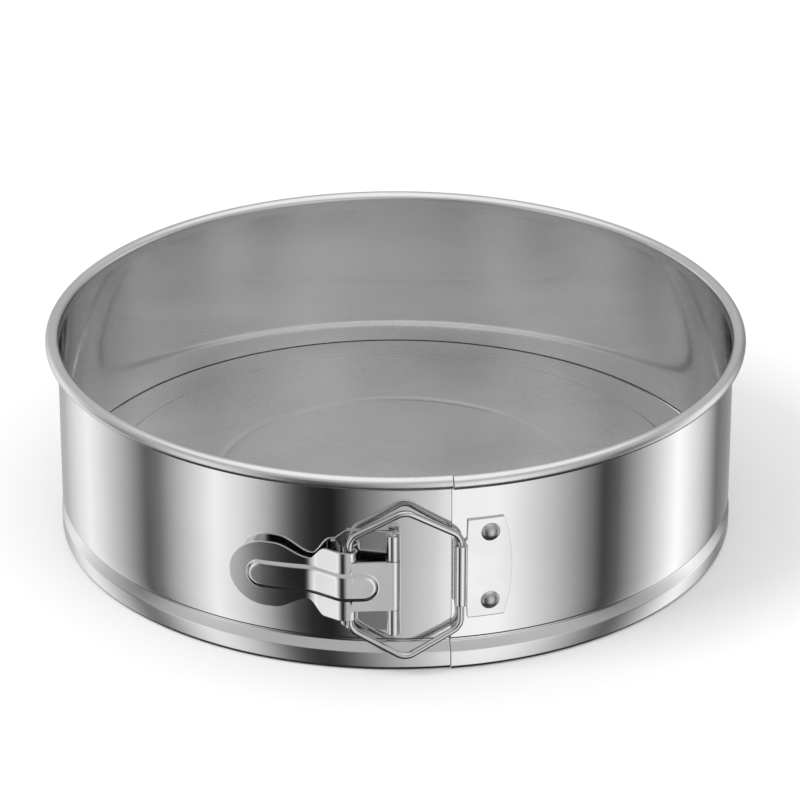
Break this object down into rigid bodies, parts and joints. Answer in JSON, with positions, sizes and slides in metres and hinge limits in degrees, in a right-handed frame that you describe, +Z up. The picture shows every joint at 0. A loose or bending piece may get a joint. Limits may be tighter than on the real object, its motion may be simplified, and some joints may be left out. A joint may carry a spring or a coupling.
{
  "type": "springform pan",
  "caption": "Round springform baking pan with a loose base, rolled rim, foot bead and a side lever latch with a wire bail.",
  "frame": {"origin": "on the pan's axis, at the level of the surface it stands on", "axes": "+Z up along the pan's axis, -Y towards the latch, +X to the catch's side"},
  "size_m": [0.2365, 0.2387, 0.0703],
  "materials": {
    "polished_band": "polished",
    "core_wire": "plain",
    "base_sheet": "satin",
    "latch_sheet": "polished",
    "lever_sheet": "polished",
    "bail_wire": "polished",
    "pin_steel": "polished",
    "rivet_steel": "satin"
  },
  "bodies": {
    "wall_left": {"band_left": "polished_band", "rim_wire_left": "core_wire", "hinge_plate": "latch_sheet", "hinge_pin": "pin_steel", "hinge_rivet_upper": "rivet_steel", "hinge_rivet_lower": "rivet_steel"},
    "wall_right": {"band_right": "polished_band", "rim_wire_right": "core_wire", "catch_plate": "latch_sheet", "catch_rivet_upper": "rivet_steel", "catch_rivet_lower": "rivet_steel"},
    "lever": {"lever": "lever_sheet"},
    "bail": {"bail": "bail_wire"},
    "base": {"base_plate": "base_sheet"}
  },
  "joints": [
    {"name": "lever_swing", "type": "hinge", "parent": "wall_left", "child": "lever", "pos_m": [-0.0005, -0.1167, 0.033], "axis": [0, 0, 1], "range_deg": [0, 150]},
    {"name": "band_opening", "type": "hinge", "parent": "wall_left", "child": "wall_right", "pos_m": [0, 0.1181, 0.035], "axis": [0, 0, 1], "range_deg": [0, 1.1]},
    {"name": "bail_swing", "type": "hinge", "parent": "wall_right", "child": "bail", "pos_m": [0.021, -0.11494, 0.0353], "axis": [0, 0, 1], "range_deg": [0, 56]},
    {"name": "base_lift", "type": "slide", "parent": "wall_left", "child": "base", "axis": [0, 0, 1], "range_m": [0, 0.08]}
  ],
  "couplings": [
    {"joint": "band_opening", "follows": "lever_swing", "ratio": 0.0072},
    {"joint": "bail_swing", "follows": "lever_swing", "ratio": 0.3728}
  ]
}
